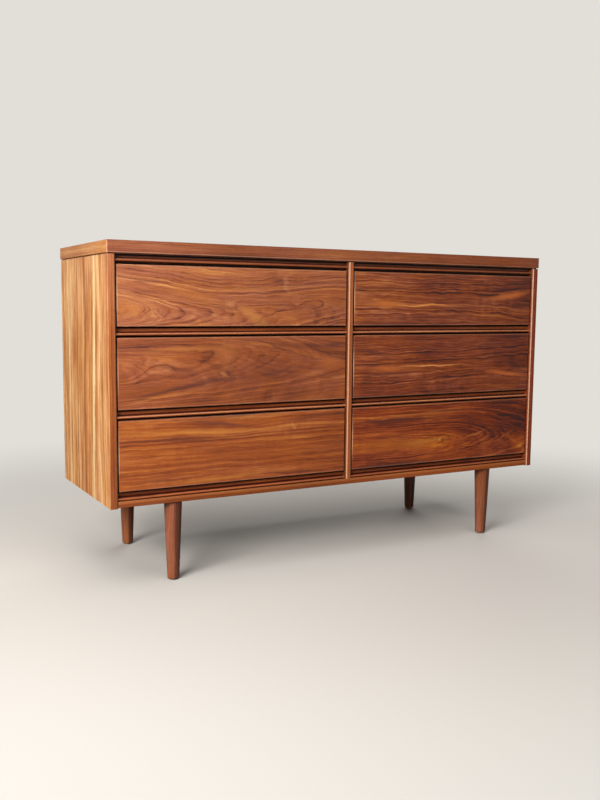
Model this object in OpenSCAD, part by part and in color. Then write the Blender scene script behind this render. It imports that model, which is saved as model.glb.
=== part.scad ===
// Double dresser: six drawers in two columns, coved finger rails, turned legs.
// Origin on the floor under the middle of the top; X to the right, Y to the back, Z up.

/* [Overall] */
// Width of the top
top_w = 1320; // [1000:10:1700]
// Depth of the top, front to back
top_d = 428; // [360:2:560]
// Height of the turned legs
leg_h = 200; // [120:5:300]

/* [Top] */
// Thickness of the top, shadow line included
top_t = 32; // [24:1:42]
// Height of the shadow line under the top
reveal_h = 2.4; // [1:0.2:5]
// How far the shadow line is cut in from the edge
reveal_in = 6; // [3:0.5:10]
// How far the top stands past each side panel
top_side_lap = 2.5; // [0:0.5:12]
// How far the top stands past the front of the case
top_front_lap = 1.5; // [0:0.5:12]
// Radius of the top's upright corners
top_corner_r = 3; // [1:0.5:10]

/* [Case] */
// Thickness of the side panels
panel_t = 19; // [15:0.5:25]
// Thickness of the centre partition and its stile
partition_t = 19; // [15:0.5:25]
// Depth of the solid stile in front of the partition
stile_d = 22; // [16:1:32]
// How far the stile is set back from the panels
stile_setback = 2; // [0:0.5:4]
// Radius of the panels' inner front edges and of the stile's edges
stile_r = 6; // [2:0.5:7]
// Thickness of the bottom board
base_t = 15; // [12:0.5:22]
// How far the bottom board's edge is set back from the panels
base_setback = 2.5; // [0:0.5:6]
// How far the panels hang below the bottom board
panel_drop = 1.5; // [0:0.5:6]
// Thickness of the plywood back
back_t = 6; // [3:0.5:10]
// Width of the rebate that the back lies in
back_rebate = 9; // [6:0.5:12]
// Radius of the eased edges
ease_r = 1.5; // [0.5:0.25:2.5]

/* [Rails] */
// Height of each rail between the drawers
rail_h = 19; // [16:0.5:26]
// Depth of each front rail
rail_d = 55; // [48:1:80]
// Depth of each rear rail
rear_rail_d = 45; // [36:1:80]
// How far a rail's lip is set back from the panels
lip_setback = 6; // [4:0.5:12]
// Height of a rail's lip
lip_h = 8; // [6:0.5:10]
// Radius of the lip's nose
lip_r = 3.5; // [1:0.25:4]
// How much higher the lip sits on the two top rails
top_lip_rise = 2; // [0:0.5:2]
// Height of the quirk, the narrow groove over the lip
quirk_h = 2.5; // [1.5:0.5:3]
// Depth of the quirk behind the wall of the cove
quirk_d = 3; // [1:0.5:5]
// Depth of the finger cove behind the nose of the lip
cove_d = 11; // [8:0.5:14]
// Length of the stub tenons
tenon_l = 6; // [4:0.5:7]
// Thickness of the stub tenons
tenon_t = 7; // [5:0.5:9]
// Width of the runners that carry the drawer sides
runner_w = 30; // [20:1:50]
// Width of the centre track
track_w = 25; // [16:1:40]
// Height of the centre track
track_h = 8; // [6:0.5:9]

/* [Drawers] */
// Height of the two top drawer fronts
top_drawer_h = 145; // [100:1:220]
// Height of the four lower drawer fronts
low_drawer_h = 170; // [120:1:260]
// Gap all round a drawer front
drawer_gap = 3; // [1.5:0.25:5]
// How far the drawer fronts are set back from the panels
face_setback = 5; // [0:0.5:10]
// Thickness of a drawer front
front_t = 19; // [16:0.5:25]
// Thickness of the wood left in front of the dovetails
dovetail_lap = 6; // [4:0.5:9]
// Thickness of a drawer side
side_t = 11; // [9:0.5:16]
// Thickness of a drawer back
drawer_back_t = 11; // [9:0.5:16]
// Thickness of a drawer bottom
bottom_t = 4; // [3:0.5:6]
// Height of the space under a drawer bottom
bottom_rise = 12; // [11:0.5:18]
// Depth of the groove that holds a drawer bottom
groove_d = 5; // [3:0.5:6]
// How much lower a drawer side is than its front
side_drop = 10; // [4:1:30]
// Space behind a closed drawer
rear_space = 15; // [10:1:60]
// Thickness of the front wood over the finger undercut
undercut_lap = 6; // [4:0.5:9]
// Radius of the finger undercut
undercut_r = 7; // [4:0.5:8]
// Width of the channel under a drawer bottom
guide_w = 46; // [44:1:80]
// Nearest spacing of the dovetails
dovetail_pitch = 31; // [24:1:50]
// Slope of the dovetails in degrees
dovetail_slope = 8; // [5:1:12]

/* [Legs] */
// Diameter at the top of a leg
leg_top_d = 45; // [32:1:54]
// Diameter at the foot of a leg
leg_foot_d = 30; // [20:1:40]
// Distance from the end of the top to a leg's axis
leg_in_side = 168; // [60:2:300]
// Distance from the front or back of the top to a leg's axis
leg_in_front = 32; // [28:1:42]
// Radius round the foot
foot_r = 4; // [1:0.5:6]
// Diameter of a hanger bolt
bolt_d = 8; // [6:1:10]
// Diameter of a nail-on glide
glide_d = 20; // [14:1:24]

/* [Hidden] */
$fn = 64;
fit = 0.1;            // glued and pressed joints
slide_gap = 0.3;      // moving wood on wood
track_gap = 0.7;      // channel over the centre track
over = 1;             // how far a cutter stands past what it cuts

walnut = "#8a4a2a";
walnut_edge = "#7c3f24";
poplar = "#c9a878";
plywood = "#b98f62";
steel = "#9a9a9c";
brass = "#b08d4a";

case_w = top_w - 2*top_side_lap;
case_front = -top_d/2 + top_front_lap;
case_back = top_d/2;
back_face = case_back - back_t;
bay_w = (case_w - 2*panel_t - partition_t)/2;
bay_x = (partition_t + bay_w)/2;
base_top = leg_h + base_t;

row_h = [low_drawer_h, low_drawer_h, top_drawer_h];
function open_h(row) = row_h[row] + 2*drawer_gap;
function level_z(i) = i == 0 ? base_top : level_z(i - 1) + rail_h + open_h(i - 1);
case_top = level_z(3) + rail_h;
panel_z = leg_h - panel_drop;

lip_y = case_front + lip_setback;
rail_back = lip_y + rail_d;
nose_r = min(lip_r, 0.45*lip_h);                 // leaves a narrow flat on the thinnest lip
rear_rail_front = back_face - rear_rail_d;

face_y = case_front + face_setback;
drawer_w = bay_w - 2*drawer_gap;
inner_w = drawer_w - 2*side_t;
drawer_len = back_face - rear_space - face_y;
bottom_top = bottom_rise + bottom_t;
back_drop = 6;                                   // drawer back below the sides
track_y = face_y + front_t + 4;
stop_size = [16, 30];                            // width and height
function drawer_z(row) = level_z(row) + rail_h + drawer_gap;
function side_h(row) = row_h[row] - side_drop;

stile_back = case_front + stile_setback + stile_d;
tenon_y = [stile_back + 2, rail_back - 6];       // where a stub tenon starts and ends
tenon_z = [(rail_h - tenon_t)/2, (rail_h + tenon_t)/2];
tongue_inset = 30;                               // base tongue stops this far from front and back
tongue_z = [base_t/4, base_t*3/4];

leg_x = top_w/2 - leg_in_side;
leg_y = top_d/2 - leg_in_front;
glide_t = 2;
glide_nail = [2.4, 15];                          // diameter and length
insert_d = 12;
insert_l = base_t + 7;
bolt_below = 38;
bolt_above = insert_l - 2;

top_screw = [4, 32, 8];                          // shank, length and head of the top's screws
back_screw = [3, 20, 7];
top_screw_y = [rail_back - 12, rear_rail_front + rear_rail_d/2];

COLUMNS = [["left", -1], ["right", 1]];
ROWS = [["lower", 0], ["middle", 1], ["upper", 2]];
DRAWERS = [for (r = ROWS, c = COLUMNS) [str(r[0], "_", c[0], "_drawer_"), c[1], r[1]]];
DRAWER_PIECES = ["front", "left_side", "right_side", "back", "bottom", "guide"];
CASE_PIECES = [
    "top_slab", "left_side_panel", "right_side_panel", "center_partition", "center_stile",
    "base_board", "back_panel", "top_rails", "upper_rails", "lower_rails", "bottom_rails",
    "rear_rails", "drawer_runners", "center_tracks", "stop_blocks",
    "leg_front_left", "leg_front_right", "leg_back_left", "leg_back_right",
    "leg_inserts", "leg_bolts", "foot_glides", "top_screws", "back_screws"
];

// ---- shared shapes ----

// Extrude a profile drawn in Y and Z along X, from x0 to x1
module along_x(x0, x1) translate([x0, 0, 0]) rotate([90, 0, 90]) linear_extrude(x1 - x0) children();

// Extrude a profile drawn in X and Z along Y, from y0 to y1
module along_y(y0, y1) translate([0, y1, 0]) rotate([90, 0, 0]) linear_extrude(y1 - y0) children();

// A block between two corners
module block(low, high) translate(low) cube(high - low);

// What a corner at the origin loses when it is rounded; the board lies in +x, +y
module corner_waste(r) difference() {
    translate([-over, -over]) square(r + over);
    translate([r, r]) circle(r);
}

// A rectangle with all four corners eased
module eased_rect(low, high, r) difference() {
    translate(low) square(high - low);
    for (x = [0, 1], y = [0, 1])
        translate([x ? high[0] : low[0], y ? high[1] : low[1]])
            mirror([x, 0]) mirror([0, y]) corner_waste(r);
}

// What a board's two upper corners lose, between x0 and x1 at height z
module top_waste(x0, x1, z, r) {
    translate([x0, z]) mirror([0, 1]) corner_waste(r);
    translate([x1, z]) mirror([1, 0]) mirror([0, 1]) corner_waste(r);
}

// A countersunk screw along +Z with its head's face at the origin
module screw(size, grow = 0) {
    cylinder(d = size[0] + 2*grow, h = size[1] + grow);
    translate([0, 0, -grow])
        cylinder(d1 = size[2] + 2*grow, d2 = size[0] + 2*grow, h = (size[2] - size[0])/2 + grow);
}

module each_bay() for (s = [-1, 1]) translate([s*bay_x, 0, 0]) children();

module leg_place(sx, sy) translate([sx*leg_x, sy*leg_y, 0]) children();

module each_leg() for (sx = [-1, 1], sy = [-1, 1]) leg_place(sx, sy) children();

// ---- fixings ----

module top_screws_at(grow = 0)
    each_bay() for (x = [-bay_w/3, 0, bay_w/3], y = top_screw_y)
        translate([x, y, level_z(3)]) screw(top_screw, grow);

module back_screws_at(grow = 0)
    each_bay() for (i = [0:3], x = [-bay_w/3, 0, bay_w/3])
        translate([x, case_back, level_z(i) + rail_h/2]) rotate([90, 0, 0]) screw(back_screw, grow);

module top_screws() color(steel) top_screws_at();
module back_screws() color(steel) back_screws_at();

module insert_shape(grow = 0)
    translate([0, 0, leg_h - grow]) cylinder(d = insert_d + 2*grow, h = insert_l + 2*grow);

module bolt_shape(grow = 0)
    translate([0, 0, leg_h - bolt_below - grow])
        cylinder(d = bolt_d + 2*grow, h = bolt_below + bolt_above + 2*grow);

module leg_inserts() color(brass) each_leg() difference() {
    insert_shape();
    translate([0, 0, leg_h - over]) cylinder(d = bolt_d + 2*fit, h = insert_l + 2*over);
}

module leg_bolts() color(steel) each_leg() bolt_shape();

// ---- case ----

module top_slab() color(walnut) difference() {
    union() {
        intersection() {
            along_x(-top_w/2, top_w/2)
                eased_rect([-top_d/2, case_top + reveal_h], [top_d/2, case_top + top_t], ease_r);
            along_y(-top_d/2, top_d/2)
                eased_rect([-top_w/2, case_top + reveal_h], [top_w/2, case_top + top_t], ease_r);
            translate([0, 0, case_top]) linear_extrude(top_t)
                eased_rect([-top_w/2, -top_d/2], [top_w/2, top_d/2], top_corner_r);
        }
        block([-top_w/2 + reveal_in, -top_d/2 + reveal_in, case_top],
              [top_w/2 - reveal_in, case_back, case_top + top_t/2]);
    }
    top_screws_at(fit);
}

// The bottom board's stopped tongues, drawn as one strip from side to side
module base_tongue(grow = 0) {
    x = case_w/2 - panel_t + tenon_l + grow;
    block([-x, case_front + tongue_inset - grow, leg_h + tongue_z[0] - grow],
          [x, back_face - tongue_inset + grow, leg_h + tongue_z[1] + grow]);
}

// The front rails' stub tenons at one level, drawn as one strip across each bay
module rail_tenons(i, grow = 0) {
    x = bay_w/2 + tenon_l + grow;
    each_bay() block([-x, tenon_y[0] - grow, level_z(i) + tenon_z[0] - grow],
                     [x, tenon_y[1] + grow, level_z(i) + tenon_z[1] + grow]);
}

module side_panel() difference() {
    translate([0, 0, panel_z]) linear_extrude(case_top - panel_z) difference() {
        translate([case_w/2 - panel_t, case_front]) square([panel_t, case_back - case_front]);
        translate([case_w/2 - panel_t, case_front]) corner_waste(stile_r);
        translate([case_w/2, case_front]) mirror([1, 0]) corner_waste(ease_r);
        translate([case_w/2 - panel_t - over, back_face]) square([back_rebate + over, back_t + over]);
    }
    base_tongue(fit);
    for (i = [0:3]) rail_tenons(i, fit);
}

module left_side_panel() color(walnut) mirror([1, 0, 0]) side_panel();
module right_side_panel() color(walnut) side_panel();

module center_partition() color(walnut) difference() {
    block([-partition_t/2, stile_back, base_top], [partition_t/2, back_face, case_top]);
    for (i = [0:3]) rail_tenons(i, fit);
}

module center_stile() color(walnut_edge)
    translate([0, stile_back - stile_d, base_top]) linear_extrude(case_top - base_top) difference() {
        translate([-partition_t/2, 0]) square([partition_t, stile_d]);
        for (m = [0, 1]) mirror([m, 0]) translate([-partition_t/2, 0]) corner_waste(stile_r);
    }

module base_board() color(walnut) difference() {
    union() {
        translate([0, case_front + base_setback, leg_h])
            along_x(-case_w/2 + panel_t, case_w/2 - panel_t) difference() {
                square([back_face - case_front - base_setback, base_t]);
                corner_waste(ease_r);
                translate([0, base_t]) mirror([0, 1]) corner_waste(ease_r);
            }
        base_tongue();
    }
    each_leg() insert_shape(fit);
}

module back_panel() color(plywood) difference() {
    block([-case_w/2 + panel_t - back_rebate + fit, back_face, panel_z],
          [case_w/2 - panel_t + back_rebate - fit, case_back, case_top]);
    back_screws_at(fit);
}

// ---- rails, runners and tracks ----

// Section of a front rail, its nose at y = 0 and its underside at z = 0: a round-nosed lip from
// lip_z up, the quirk over it and the wall of the cove above that
module rail_section(lip_z) {
    quirk_z = lip_z + lip_h;
    wall_z = quirk_z + quirk_h;
    translate([nose_r, lip_z]) square([rail_d - nose_r, lip_h]);
    translate([0, lip_z + nose_r]) square([rail_d, lip_h - 2*nose_r]);
    for (z = [lip_z + nose_r, quirk_z - nose_r]) translate([nose_r, z]) circle(nose_r);
    translate([cove_d, 0]) square([rail_d - cove_d, quirk_z]);
    translate([cove_d + quirk_d, 0]) square([rail_d - cove_d - quirk_d, rail_h]);
    difference() {
        translate([cove_d, wall_z]) square([rail_d - cove_d, rail_h - wall_z]);
        translate([cove_d, rail_h]) mirror([0, 1]) corner_waste(ease_r);
    }
}

module front_rails(i) color(walnut_edge) difference() {
    union() {
        each_bay() translate([0, lip_y, level_z(i)])
            along_x(-bay_w/2, bay_w/2) rail_section(i == 3 ? top_lip_rise : 0);
        rail_tenons(i);
    }
    if (i == 0) each_leg() insert_shape(fit);
    if (i == 3) top_screws_at(fit);
}

module top_rails() front_rails(3);
module upper_rails() front_rails(2);
module lower_rails() front_rails(1);
module bottom_rails() front_rails(0);

module rear_rails() color(poplar) difference() {
    for (i = [0:3]) each_bay()
        block([-bay_w/2, rear_rail_front, level_z(i)], [bay_w/2, back_face, level_z(i) + rail_h]);
    each_leg() insert_shape(fit);
    top_screws_at(fit);
    back_screws_at(fit);
}

// A runner lies along each side of a bay; the top pair only stops the drawer from tipping
module drawer_runners() color(poplar) for (i = [0:3]) {
    rise = i == 3 ? 0 : drawer_gap - slide_gap;
    each_bay() for (m = [0, 1]) mirror([m, 0, 0])
        block([bay_w/2 - runner_w, rail_back, level_z(i) + rise],
              [bay_w/2, rear_rail_front, level_z(i) + rise + rail_h]);
}

module center_tracks() color(poplar) for (i = [0:2]) each_bay() translate([0, 0, level_z(i) + rail_h])
    block([-track_w/2, track_y, 0], [track_w/2, back_face, track_h]);

// A block behind each drawer side, on the rear rail
module stop_blocks() color(poplar)
    for (i = [0:2]) each_bay() for (m = [0, 1]) mirror([m, 0, 0])
        translate([bay_w/2 - drawer_gap, face_y + drawer_len + slide_gap, level_z(i) + rail_h])
            block([-stop_size[0], 0, 0], [0, rear_space - slide_gap, stop_size[1]]);

// ---- legs ----

// Half the outline of a leg: a straight taper with a rounded foot
module leg_outline() {
    flat = leg_foot_d/2 - foot_r;
    polygon(concat(
        [[0, glide_t]],
        [for (a = [0:15:90]) [flat + foot_r*sin(a), glide_t + foot_r*(1 - cos(a))]],
        [[leg_top_d/2, leg_h], [0, leg_h]]
    ));
}

module leg() difference() {
    rotate_extrude() leg_outline();
    bolt_shape(fit);
    glide_nail_shape(fit);
}

module glide_nail_shape(grow = 0)
    translate([0, 0, glide_t/2]) cylinder(d = glide_nail[0] + 2*grow, h = glide_nail[1] + grow);

module leg_front_left() color(walnut_edge) leg_place(-1, -1) leg();
module leg_front_right() color(walnut_edge) leg_place(1, -1) leg();
module leg_back_left() color(walnut_edge) leg_place(-1, 1) leg();
module leg_back_right() color(walnut_edge) leg_place(1, 1) leg();

module foot_glides() color(steel) each_leg() {
    cylinder(d1 = glide_d - glide_t, d2 = glide_d, h = glide_t/2);
    translate([0, 0, glide_t/2]) cylinder(d = glide_d, h = glide_t/2);
    glide_nail_shape();
}

// ---- drawers ----
// Each is drawn with its front face at y = 0, its lower edge at z = 0 and its middle at x = 0

module at_drawer(d) translate([d[1]*bay_x, face_y, drawer_z(d[2])]) children();

// A row of tails between two heights, with their wide ends at y_tip
module tails(z0, z1, y_root, y_tip, grow = 0) {
    n = floor((z1 - z0)/dovetail_pitch);
    pitch = (z1 - z0)/n;
    wide = 0.31*pitch;
    narrow = wide - abs(y_tip - y_root)*tan(dovetail_slope);
    way = y_tip > y_root ? 1 : -1;
    for (i = [0:n - 1]) along_x(drawer_w/2 - side_t, drawer_w/2)
        translate([0, z0 + (i + 0.5)*pitch])
            polygon([[y_root - way*over, -narrow - grow], [y_tip + way*grow, -wide - grow],
                     [y_tip + way*grow, wide + grow], [y_root - way*over, narrow + grow]]);
}

module front_tails(row, grow = 0) tails(0, side_h(row), front_t, dovetail_lap, grow);

module back_tails(row, grow = 0)
    tails(bottom_top, side_h(row) - back_drop, drawer_len - drawer_back_t, drawer_len, grow);

// The flat bottom, or with grow the groove that takes it
module bottom_shape(grow = 0)
    block([-inner_w/2 - groove_d + fit - grow, front_t - groove_d + fit - grow, bottom_rise - grow],
          [inner_w/2 + groove_d - fit + grow, drawer_len + (grow > 0 ? over : 0), bottom_top + grow]);

module drawer_front(d) {
    h = row_h[d[2]];
    difference() {
        intersection() {
            along_x(-drawer_w/2, drawer_w/2) difference() {
                square([front_t, h]);
                corner_waste(ease_r);
                top_waste(0, front_t, h, ease_r);
            }
            linear_extrude(h) difference() {
                translate([-drawer_w/2, 0]) square([drawer_w, front_t]);
                for (m = [0, 1]) mirror([m, 0]) translate([-drawer_w/2, 0]) corner_waste(ease_r);
            }
        }
        for (m = [0, 1]) mirror([m, 0, 0]) front_tails(d[2], fit);
        bottom_shape(fit);
        translate([0, undercut_lap + undercut_r, 0]) rotate([0, 90, 0])
            cylinder(r = undercut_r, h = inner_w - 2*fit, center = true);
    }
}

module drawer_side(d) {
    h = side_h(d[2]);
    x0 = drawer_w/2 - side_t;
    x1 = drawer_w/2;
    difference() {
        union() {
            block([x0, front_t, 0], [x1, drawer_len - drawer_back_t, h]);
            block([x0, front_t, 0], [x1, drawer_len, bottom_top]);
            block([x0, front_t, h - back_drop], [x1, drawer_len, h]);
            front_tails(d[2]);
            back_tails(d[2]);
        }
        bottom_shape(fit);
        along_y(front_t, drawer_len + over) top_waste(x0, x1, h, ease_r);
    }
}

// The back's upper edges are eased between the sides only
module drawer_back(d) {
    y0 = drawer_len - drawer_back_t + fit;
    top = side_h(d[2]) - back_drop - fit;
    difference() {
        block([-drawer_w/2, y0, bottom_top + fit], [drawer_w/2, drawer_len, top]);
        for (m = [0, 1]) mirror([m, 0, 0]) back_tails(d[2], fit);
        along_x(-inner_w/2, inner_w/2) top_waste(y0, drawer_len, top, ease_r);
    }
}

module drawer_guide() difference() {
    block([-guide_w/2, front_t, 2*slide_gap], [guide_w/2, drawer_len, bottom_rise]);
    block([-track_w/2 - track_gap, front_t - over, -over],
          [track_w/2 + track_gap, drawer_len + over, track_h - drawer_gap + track_gap]);
}

module drawer_piece(d, piece) {
    if (piece == "front") color(walnut) drawer_front(d);
    if (piece == "left_side") color(poplar) mirror([1, 0, 0]) drawer_side(d);
    if (piece == "right_side") color(poplar) drawer_side(d);
    if (piece == "back") color(poplar) drawer_back(d);
    if (piece == "bottom") color(plywood) bottom_shape();
    if (piece == "guide") color(poplar) drawer_guide();
}

top_slab();
left_side_panel();
right_side_panel();
center_partition();
center_stile();
base_board();
back_panel();
top_rails();
upper_rails();
lower_rails();
bottom_rails();
rear_rails();
drawer_runners();
center_tracks();
stop_blocks();
leg_front_left();
leg_front_right();
leg_back_left();
leg_back_right();
leg_inserts();
leg_bolts();
foot_glides();
top_screws();
back_screws();
for (d = DRAWERS, p = DRAWER_PIECES)
    at_drawer(d) drawer_piece(d, p);
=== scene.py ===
from math import radians

import bmesh
import bpy
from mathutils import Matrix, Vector


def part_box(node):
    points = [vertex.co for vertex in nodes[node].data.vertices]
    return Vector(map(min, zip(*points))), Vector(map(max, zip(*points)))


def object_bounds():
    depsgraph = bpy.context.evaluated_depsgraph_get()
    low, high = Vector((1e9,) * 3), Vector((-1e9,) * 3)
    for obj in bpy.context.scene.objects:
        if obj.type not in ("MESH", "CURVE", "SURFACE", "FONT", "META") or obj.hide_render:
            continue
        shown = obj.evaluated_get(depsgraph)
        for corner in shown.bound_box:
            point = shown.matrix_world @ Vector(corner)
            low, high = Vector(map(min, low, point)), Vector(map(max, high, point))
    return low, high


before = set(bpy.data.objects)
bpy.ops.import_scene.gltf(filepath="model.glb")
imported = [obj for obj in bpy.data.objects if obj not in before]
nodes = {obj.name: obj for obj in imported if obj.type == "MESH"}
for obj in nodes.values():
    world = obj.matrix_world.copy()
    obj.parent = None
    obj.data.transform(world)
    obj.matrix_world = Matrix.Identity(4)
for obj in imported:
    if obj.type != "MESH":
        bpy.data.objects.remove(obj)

# Walnut double dresser with six drawers. The frame gives every shape and size, and this script the looks:
# each piece keeps its mesh and gets its wood or metal.

cadLow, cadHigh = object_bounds()
scene = bpy.context.scene
scene.view_settings.view_transform = "Standard"
drawerRows = ["lower", "middle", "upper"]
drawerSides = ["left", "right"]
print("frame loaded:", len(nodes), "nodes")


def linear(hexColour):
    # sRGB hex to the linear colour a shader takes
    parts = [int(hexColour[i:i + 2], 16) / 255 for i in (1, 3, 5)]
    return [p / 12.92 if p <= 0.04045 else ((p + 0.055) / 1.055) ** 2.4 for p in parts] + [1]


def addNode(tree, kind, settings=None, inputs=None):
    # settings are the node's own fields; an input is a value, a socket, or a node whose first output is used
    node = tree.nodes.new("ShaderNode" + kind)
    for field, value in (settings or {}).items():
        setattr(node, field, value)
    for key, value in (inputs or {}).items():
        if isinstance(value, bpy.types.Node):
            value = value.outputs[0]
        if isinstance(value, bpy.types.NodeSocket):
            tree.links.new(value, node.inputs[key])
        else:
            node.inputs[key].default_value = value
    return node


def newMaterial(name):
    material = bpy.data.materials.new(name)
    material.use_nodes = True
    material.node_tree.nodes.clear()
    return material


def setRamp(ramp, stops):
    # stops are (place, sRGB hex); a new ramp has two of its own
    elements = ramp.color_ramp.elements
    while len(elements) < len(stops):
        elements.new(0.5)
    for element, (place, colour) in zip(elements, stops):
        element.position = place
        element.color = linear(colour)


def paint(nodeName, material):
    # a CAD node keeps its mesh and takes a new material
    nodes[nodeName].data.materials.clear()
    nodes[nodeName].data.materials.append(material)


# three-quarter view from the front left, at about the height of the upper drawers
camera = {
    "place": (-1.2494, -2.1922, 0.6855),
    "turn": (83.705, -0.547, -28.918),      # degrees about X, Y, Z
    "lens": 39.487,                         # mm on a 36 mm long side
}
cameraData = bpy.data.cameras.new("camera")
cameraData.lens = camera["lens"]
cameraObject = bpy.data.objects.new("camera", cameraData)
cameraObject.location = camera["place"]
cameraObject.rotation_euler = [radians(a) for a in camera["turn"]]
scene.collection.objects.link(cameraObject)
scene.camera = cameraObject
print("camera placed")


studio = {
    "floor": "#c7c3bd",
    "backdrop": "#e2dfd9",
    "bounce": "#7d776f",        # what the floor gives back to the piece
    "glare": 0.45,              # how bright the room looks in a reflection
    "floorSize": 40.0,          # m from the middle to each side
    "fade": (0.8, 2.3),         # m from the middle, where the floor turns into the backdrop
    "world": 0.05,              # how much the room itself lights the piece
}

mesh = bpy.data.meshes.new("floor")
plane = bmesh.new()
bmesh.ops.create_grid(plane, x_segments=2, y_segments=2, size=studio["floorSize"])
plane.to_mesh(mesh)
plane.free()
floor = bpy.data.objects.new("floor", mesh)
scene.collection.objects.link(floor)

floorPaint = newMaterial("floorMattPaint")     # smooth matt paint: a soft, even shadow catcher
tree = floorPaint.node_tree
spot = addNode(tree, "TexCoord").outputs["Object"]
reach = addNode(tree, "VectorMath", {"operation": "LENGTH"}, {0: spot}).outputs["Value"]
fade = addNode(tree, "MapRange", {"interpolation_type": "SMOOTHSTEP"},
               {0: reach, 1: studio["fade"][0], 2: studio["fade"][1]})
rays = addNode(tree, "LightPath")
tint = addNode(tree, "Mix", {"data_type": "RGBA"}, {
    0: rays.outputs["Is Camera Ray"], 6: linear(studio["bounce"]), 7: linear(studio["floor"])}).outputs[2]
matt = addNode(tree, "BsdfDiffuse", {}, {"Color": tint})
glow = addNode(tree, "Emission", {}, {"Color": linear(studio["backdrop"]), "Strength": 1.0})
seen = addNode(tree, "Math", {"operation": "MULTIPLY"}, {0: fade, 1: rays.outputs["Is Camera Ray"]})
blend = addNode(tree, "MixShader", {}, {0: seen, 1: matt, 2: glow})
addNode(tree, "OutputMaterial", {}, {0: blend})
mesh.materials.append(floorPaint)

world = bpy.data.worlds.new("studio")
scene.world = world
world.use_nodes = True
tree = world.node_tree
tree.nodes.clear()
rays = addNode(tree, "LightPath")
glossy = addNode(tree, "Math", {"operation": "MULTIPLY"},
                 {0: rays.outputs["Is Glossy Ray"], 1: studio["glare"]})
bright = addNode(tree, "Math", {"operation": "MAXIMUM"}, {0: rays.outputs["Is Camera Ray"], 1: glossy})
shown = addNode(tree, "Math", {"operation": "MAXIMUM"}, {0: bright, 1: studio["world"]})
air = addNode(tree, "Background", {}, {"Color": linear(studio["backdrop"]), "Strength": shown})
addNode(tree, "OutputWorld", {}, {0: air})

lamps = {
    # key: a window on the left, near enough that the light falls away along the front
    "window": {"kind": "AREA", "place": (-2.4, -1.7, 1.5), "aim": (-0.35, -0.1, 0.5), "size": (1.4, 0.9),
               "power": 115, "colour": "#fffcf8"},
    # weak soft box in front: opens up the shadows between the rails and the fronts
    "softbox": {"kind": "AREA", "place": (0.1, -3.3, 1.95), "aim": (0.0, 0.0, 0.5), "size": (1.8, 1.1),
                "power": 14, "colour": "#ffffff"},
    # fill from behind on the right: keeps the back and the right-hand end readable, and is left out of
    # reflections because its mirror image would burn out the varnish of the top
    "fill": {"kind": "AREA", "place": (2.0, 2.6, 1.6), "aim": (0.0, 0.0, 0.4), "size": (2.2, 1.6),
             "power": 60, "colour": "#ffffff", "mirrored": False},
    # high even light for the floor and the top
    "skylight": {"kind": "SUN", "place": (-0.5, -0.8, 3.6), "aim": (0.0, 0.0, 0.0), "spread": 50,
                 "power": 1.35, "colour": "#ffffff"},
}
for name, lamp in lamps.items():
    data = bpy.data.lights.new(name, lamp["kind"])
    if lamp["kind"] == "AREA":
        data.shape = "RECTANGLE"
        data.size, data.size_y = lamp["size"]
    else:
        data.angle = radians(lamp["spread"])
    data.energy = lamp["power"]
    data.color = linear(lamp["colour"])[:3]
    light = bpy.data.objects.new(name, data)
    light.visible_glossy = lamp.get("mirrored", True)
    light.location = lamp["place"]
    light.rotation_euler = (Vector(lamp["aim"]) - Vector(lamp["place"])).to_track_quat("-Z", "Y").to_euler()
    scene.collection.objects.link(light)
print("floor and lamps placed")


# how a board is turned so that the pattern's first axis runs along its grain,
# the second across its face and the third into it; degrees about X, Y, Z
grainTurns = {
    "x on front": (-90, 0, 0),
    "x on top": (0, 0, 0),
    "z on side": (0, 90, 0),
    "z on front": (-90, 0, -90),
    "y on side": (-90, -90, 0),
    "y on top": (0, 0, -90),
}
endless = 9000      # mm, longer than any board: the half size of a mark that runs right along or through one


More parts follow.
